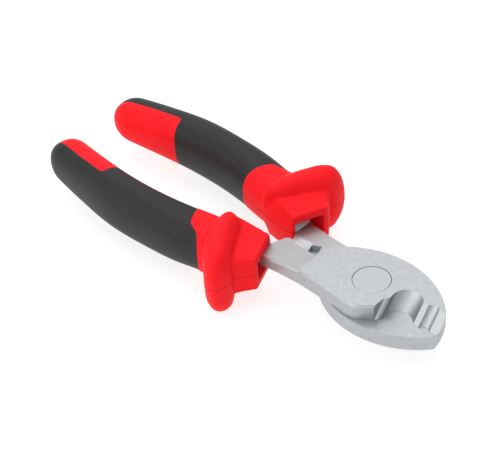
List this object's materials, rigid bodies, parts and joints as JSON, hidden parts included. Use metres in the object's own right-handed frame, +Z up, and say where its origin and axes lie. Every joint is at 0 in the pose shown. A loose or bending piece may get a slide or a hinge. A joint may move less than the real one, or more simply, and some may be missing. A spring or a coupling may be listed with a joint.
{
  "type": "cable cutters",
  "caption": "Hand cable cutters with lapped, notched steel blades turning on a flush rivet, and curved handles with red guard flanges and soft black grip sleeves.",
  "frame": {"origin": "middle of the bottom of the bounding box of the closed tool lying flat", "axes": "+X along the tool towards the blade tips, +Z up, square to the blades' flat faces"},
  "size_m": [0.1632, 0.0668, 0.028],
  "materials": {
    "blade_steel": "fine blasted satin",
    "rivet_steel": "satin",
    "red_plastic": "satin moulded",
    "black_rubber": "matte"
  },
  "bodies": {
    "lower_handle": {"lower_half": "blade_steel", "left_grip_core": "red_plastic", "left_grip_sleeve": "black_rubber", "pivot_rivet": "rivet_steel"},
    "upper_handle": {"upper_half": "blade_steel", "right_grip_core": "red_plastic", "right_grip_sleeve": "black_rubber"}
  },
  "joints": [
    {"name": "blade_pivot", "type": "hinge", "parent": "lower_handle", "child": "upper_handle", "pos_m": [0.05305, 0, 0.014], "axis": [0, 0, 1], "range_deg": [0, 35]}
  ]
}
